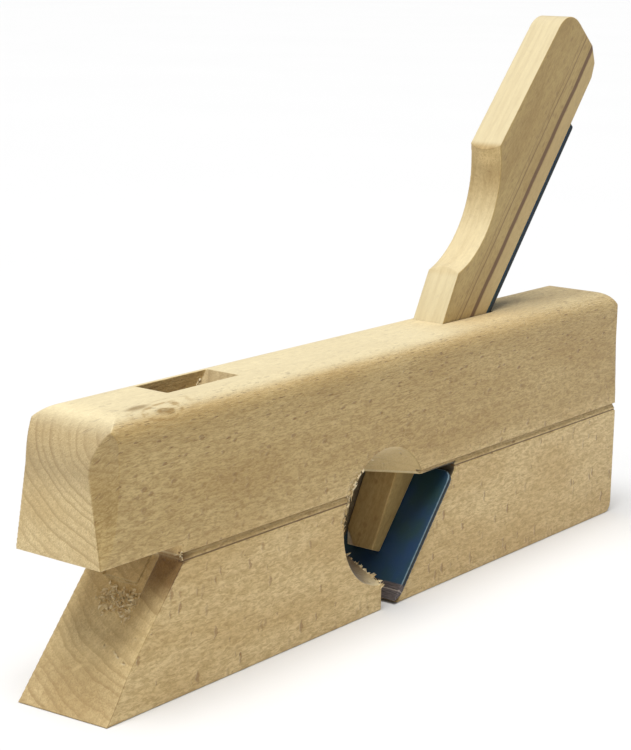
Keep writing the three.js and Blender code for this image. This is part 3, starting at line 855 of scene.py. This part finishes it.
def rim_fibres(bm, luck, count, length, width):
    """Torn strips along the left rim of the escapement, where the cutter crossed the grain."""
    for _ in range(count):
        angle = math.radians(luck.gauss(RIM_TEAR_ANGLE, RIM_TEAR_SPREAD * 0.5))
        radius = ESCAPE_RADIUS - luck.uniform(-0.3, 0.5)
        root = (ESCAPE_CENTRE[0] + radius * math.cos(angle), luck.uniform(0.0, 0.9) - SIDE_Y,
                ESCAPE_CENTRE[1] + radius * math.sin(angle))
        along_rim = Vector((-math.sin(angle), 0, math.cos(angle))) * luck.choice((-1, 1))
        inward = Vector((-math.cos(angle), 0, -math.sin(angle)))
        curl = Vector((0, luck.uniform(-0.3, 0.6), luck.uniform(-0.8, 0.4)))
        lie = along_rim + inward * luck.uniform(0.0, 0.9)
        splinter(bm, root, lie, curl, luck.uniform(*length), luck.uniform(*width))


def mouth_fibres(bm, luck, count, length, width):
    """Ragged edge between the escapement and the front wall of the mouth, in a few bunches.

    Most fibres are short; MOUTH_RARITY says how fast longer ones get rarer.
    """
    shortest, longest = length
    for _ in range(count):
        bunch = luck.randrange(MOUTH_BUNCHES)
        y = 0.8 - SIDE_Y + bunch * MOUTH_TEAR_DEPTH / MOUTH_BUNCHES + luck.gauss(0.0, 1.2)
        radius = ESCAPE_RADIUS - ESCAPE_TAPER * (y + SIDE_Y)
        across = MOUTH_X - ESCAPE_CENTRE[0]
        z = ESCAPE_CENTRE[1] - math.sqrt(radius * radius - across * across)
        root = (MOUTH_X - luck.uniform(0.1, 0.6), max(y, 0.3 - SIDE_Y), z - 0.2)
        lift = Vector((luck.uniform(-0.1, 1.2), luck.uniform(-1.5, 1.3), 1.0))
        curl = Vector((luck.uniform(-0.6, 1.4), luck.uniform(-1.4, 1.4), luck.uniform(-1.2, 0.2)))
        reach = min(shortest * luck.paretovariate(MOUTH_RARITY), longest)
        splinter(bm, root, lift, curl, reach, luck.uniform(*width))


def groove_fibres(bm, luck, count, length, width):
    """Crumbs where the side groove runs out into the notch and into the escapement."""
    rim_x = ESCAPE_CENTRE[0] - ESCAPE_RADIUS + 1.6
    for end_x, way in ((NOTCH_END_X, -1), (rim_x, 1)):
        for _ in range(count):
            root = (end_x - way * 0.3, luck.uniform(0.2, 1.2) - SIDE_Y,
                    luck.uniform(GROOVE_LOW - 1.0, GROOVE_HIGH + 1.0))
            lift = Vector((way, luck.uniform(-0.7, 0.3), luck.uniform(-0.7, 0.7)))
            curl = Vector((0, luck.uniform(-0.6, 0.6), luck.uniform(-0.9, 0.6)))
            splinter(bm, root, lift, curl, luck.uniform(*length), luck.uniform(*width))


def mortise_fibres(bm, luck, count, length, width):
    """Shreds in the far corner of the toe mortise near its top, and under its near rim."""
    for i in range(count):
        if i % 3:
            root = seat_point(TOE_SEAT_X, luck.uniform(90.0, 103.0), luck.uniform(-0.7, 0.5),
                              CHEEK_Y + 0.1)
            lie = Vector((luck.uniform(-1.0, 0.6), -0.6, luck.uniform(-0.8, 0.6)))
        else:
            root = (luck.uniform(-74.0, -66.5), MORTISE_NEAR_Y - 0.1,
                    TOP_Z - luck.uniform(0.1, 0.5))
            lie = Vector((luck.uniform(-1.0, 1.0), 0.6, luck.uniform(-0.5, 0.1)))
        curl = Vector((luck.uniform(-1.0, 1.0), luck.uniform(-0.6, 0.6), luck.uniform(-1.2, 0.0)))
        splinter(bm, root, lie, curl, luck.uniform(*length), luck.uniform(*width))


def make_fibres():
    """All the torn fibres, as one piece. They share one run of seeded luck, in this order."""
    luck = random.Random(FIBRE_SEED)
    bm = bmesh.new()
    channel_fibres(bm, luck, **FIBRES["channel"])
    rim_fibres(bm, luck, **FIBRES["rim"])
    mouth_fibres(bm, luck, **FIBRES["mouth"])
    groove_fibres(bm, luck, **FIBRES["groove"])
    mortise_fibres(bm, luck, **FIBRES["mortise"])
    mesh = bpy.data.meshes.new("torn_fibres")
    bm.to_mesh(mesh)
    bm.free()
    mesh.materials.append(fibre_material())
    mesh.shade_flat()
    piece = bpy.data.objects.new("torn_fibres", mesh)
    bpy.context.scene.collection.objects.link(piece)
    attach(piece, "stock")


def make_stock():
    piece = remeshed("stock", "beech_body", STOCK_VOXEL)
    points = read_points(piece.data)
    skew_toe_tip(points)
    sink_toe_channel(points)
    torn = tear_rim(points)
    gouge = cut_gouges(points)
    smear = scrape(points)
    write_points(piece.data, points)
    write_mask(piece.data, "torn", torn)
    write_mask(piece.data, "gouge", gouge)
    write_mask(piece.data, "smear", smear)
    write_mask(piece.data, "painted_shade", painted_shade_on(points))
    write_mask(piece.data, "throat_shade", throat_shade_on(points))
    thin_out(piece, STOCK_FACES)
    finish_piece(piece, stock_material(), "stock", "stock")


def arris_mask(mesh):
    """How sharply the surface turns at each point: 0 on flats, 1 on an outer arris."""
    count = len(mesh.vertices)
    points = read_points(mesh)
    normals = np.empty(count * 3)
    mesh.vertices.foreach_get("normal", normals)
    normals = normals.reshape(-1, 3)
    ends = np.empty(len(mesh.edges) * 2, dtype=int)
    mesh.edges.foreach_get("vertices", ends)
    a, b = ends.reshape(-1, 2).T
    along = points[b] - points[a]
    length = np.linalg.norm(along, axis=1)
    turn = np.einsum("ij,ij->i", normals[b] - normals[a], along) / np.maximum(length, 1e-9)
    total, share = np.zeros(count), np.zeros(count)
    for end in (a, b):
        np.add.at(total, end, turn)
        np.add.at(share, end, 1)
    return np.clip(total / np.maximum(share, 1) * ARRIS_GAIN, 0, 1)


def make_iron():
    piece = remeshed("iron", "blue_cutter", IRON_VOXEL)
    write_mask(piece.data, "arris", arris_mask(piece.data))
    thin_out(piece, IRON_FACES)
    finish_piece(piece, iron_material(), "iron", "iron")


def run_out_hollow(points):
    """The finger hollow was pared by hand: its ends stop short in the middle of their width."""
    s, n = off_bed(points, MAIN_SEAT_X)
    y = points[:, 1]
    middle = 1 - (2 * (y - y.min()) / (y.max() - y.min()) - 1) ** 2
    upper, lower = (HOLLOW_HIGH_S, 1, HOLLOW_HIGH_N), (HOLLOW_LOW_S, -1, HOLLOW_LOW_N)
    for end_s, way, start_n in (upper, lower):
        near = np.exp(-(((s - end_s) / HOLLOW_BLEND) ** 2))
        near = near * ramp(n, start_n, start_n + HOLLOW_FADE)
        points -= (way * HOLLOW_RUN_OUT * middle * near)[:, None] * np.array(SEAT_AXIS)


def make_wedge():
    piece = remeshed("wedge", "beech_key", WEDGE_VOXEL)
    points = read_points(piece.data)
    run_out_hollow(points)
    write_points(piece.data, points)
    thin_out(piece, WEDGE_FACES)
    finish_piece(piece, wedge_material(), "wedge", "wedge")


# ---- Floor, light and camera ------------------------------------------------------------------

# In metres. The floor lies just under the sole, so that the two never coincide
FLOOR_SIZE = 40.0
FLOOR_DROP = 0.0002
FLOOR_DARK = (0.79, 0.79, 0.79, 1)
FLOOR_LIGHT = (0.81, 0.81, 0.81, 1)
WORLD_LIGHT = 0.24
# Soft studio lights: where each comes from, the angle in degrees that it fills, and what it adds
# to a white face that is turned to it
LIGHTS = {
    "key": {"towards": (-0.24, -0.03, 0.97), "spread": 40, "level": 1.08},
    "fill": {"towards": (-0.60, -0.75, 0.25), "spread": 80, "level": 0.05},
}

# In metres, with the lens and the sensor's longer side in the millimetres that Blender takes
CAMERA_PLACE = (-0.46813, -0.33720, 0.19489)
CAMERA_RIGHT = (0.60821, -0.79356, 0.01833)
CAMERA_VIEW = (0.77763, 0.59105, -0.21439)
CAMERA_LENS = 93.77
CAMERA_SENSOR = 36
CAMERA_NEAR = 0.01


def make_floor():
    mesh = bpy.data.meshes.new("floor")
    bm = bmesh.new()
    bmesh.ops.create_grid(bm, x_segments=8, y_segments=8, size=FLOOR_SIZE / 2)
    bm.to_mesh(mesh)
    bm.free()
    floor = bpy.data.objects.new("floor", mesh)
    floor.location.z = -FLOOR_DROP
    bpy.context.scene.collection.objects.link(floor)
    g = Graph("pale_floor")
    place = g.put("TexCoord", {}).outputs["Object"]
    cloud = g.noise(place, 3.0, 2.0)
    colour = g.mix(cloud, FLOOR_DARK, FLOOR_LIGHT)
    mesh.materials.append(g.finish(colour, 0.8, g.bump(cloud, 0.01)))


def make_light(name, towards, spread, level):
    """A soft light from far away, in the direction towards."""
    lamp = bpy.data.lights.new(name, "SUN")
    lamp.angle = math.radians(spread)
    lamp.energy = level * math.pi
    holder = bpy.data.objects.new(name, lamp)
    holder.rotation_euler = Vector(towards).to_track_quat("Z", "Y").to_euler()
    bpy.context.scene.collection.objects.link(holder)


def make_lights():
    world = bpy.data.worlds.new("studio")
    world.use_nodes = True
    world.node_tree.nodes["Background"].inputs["Color"].default_value = (1, 1, 1, 1)
    world.node_tree.nodes["Background"].inputs["Strength"].default_value = WORLD_LIGHT
    bpy.context.scene.world = world
    for name, light in LIGHTS.items():
        make_light(name, **light)
    bpy.context.scene.view_settings.view_transform = "Standard"


def make_camera():
    lens = bpy.data.cameras.new("camera")
    lens.lens = CAMERA_LENS
    lens.sensor_width = CAMERA_SENSOR
    lens.clip_start = CAMERA_NEAR
    camera = bpy.data.objects.new("camera", lens)
    right = Vector(CAMERA_RIGHT).normalized()
    back = -Vector(CAMERA_VIEW).normalized()
    up = back.cross(right)
    turn = Matrix((right, up, back)).transposed()
    camera.matrix_world = Matrix.Translation(CAMERA_PLACE) @ turn.to_4x4()
    bpy.context.scene.collection.objects.link(camera)
    bpy.context.scene.camera = camera


make_camera()
make_floor()
make_lights()
make_stock()
make_fibres()
make_iron()
make_wedge()
